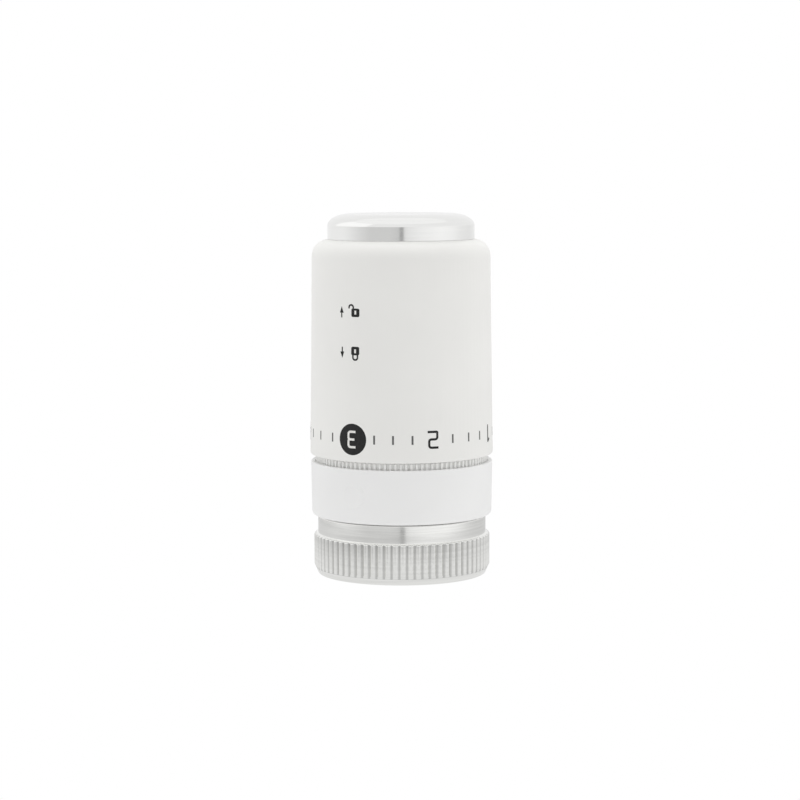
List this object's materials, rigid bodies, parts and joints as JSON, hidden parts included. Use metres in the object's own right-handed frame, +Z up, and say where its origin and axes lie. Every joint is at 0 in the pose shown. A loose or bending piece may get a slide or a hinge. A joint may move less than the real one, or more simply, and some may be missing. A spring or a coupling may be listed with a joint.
{
  "type": "thermostatic radiator valve head",
  "caption": "White thermostatic head for a radiator valve: turning dial that pushes down to lock, liquid sensor, thrust pin and knurled union nut.",
  "frame": {"origin": "centre of the union nut's open end, on the head's axis", "axes": "+Z up the head's axis from the nut to the cap; the index on the base ring faces -Y"},
  "size_m": [0.039, 0.039, 0.0768],
  "materials": {
    "white_dial": "satin",
    "white_base": "satin",
    "lock_plastic": "satin",
    "mark_ink": "matt print",
    "cap_chrome": "satin",
    "nut_chrome": "satin",
    "socket_metal": "nickel plated",
    "brass": "bright drawn",
    "bronze": "satin",
    "spring_steel": "oiled",
    "grey_plastic": "satin",
    "natural_plastic": "satin"
  },
  "bodies": {
    "base": {"valve_socket": "socket_metal", "guide_bush": "bronze", "threaded_tower": "grey_plastic", "base_ring": "white_base", "index_mark": "white_base", "lock_ring": "lock_plastic", "nut_snap_ring": "spring_steel"},
    "nut": {"union_nut": "nut_chrome"},
    "sleeve": {"drive_sleeve": "natural_plastic", "sleeve_clip": "spring_steel", "dial_stop_ring": "natural_plastic"},
    "dial": {"dial": "white_dial", "top_cap": "cap_chrome"},
    "sensor": {"sensor_holder": "grey_plastic", "sensor_shell": "brass", "sensor_base": "brass", "fill_plug": "brass", "sensor_bellows": "bronze", "sensor_retainer": "spring_steel"},
    "plunger": {"sensor_piston": "natural_plastic", "spring_cage": "natural_plastic", "cage_clip": "spring_steel", "overtravel_spring": "spring_steel"},
    "pin": {"thrust_pin": "brass"}
  },
  "joints": [
    {"name": "nut_spin", "type": "hinge", "parent": "base", "child": "nut", "pos_m": [0, 0, 0.012], "axis": [0, 0, 1], "continuous": true},
    {"name": "dial_turn", "type": "hinge", "parent": "base", "child": "sleeve", "pos_m": [0, 0, 0.04], "axis": [0, 0, 1], "range_deg": [-180, 103.85]},
    {"name": "lock_slide", "type": "slide", "parent": "sleeve", "child": "dial", "axis": [0, 0, 1], "range_m": [-0.0013, 0]},
    {"name": "sensor_lift", "type": "slide", "parent": "sleeve", "child": "sensor", "axis": [0, 0, 1], "range_m": [-0.00265, 0.00155]},
    {"name": "thermal_stroke", "type": "slide", "parent": "sensor", "child": "plunger", "axis": [0, 0, 1], "range_m": [-0.0022, 0.0006], "stiffness_N_per_m": 3000, "deforming": ["sensor_bellows"]},
    {"name": "overtravel", "type": "slide", "parent": "plunger", "child": "pin", "axis": [0, 0, 1], "range_m": [0, 0.0025], "stiffness_N_per_m": 3000, "springref_m": -0.001, "deforming": ["overtravel_spring"]}
  ],
  "couplings": [
    {"joint": "sensor_lift", "follows": "dial_turn", "m_per_rad": 0.00082761}
  ]
}
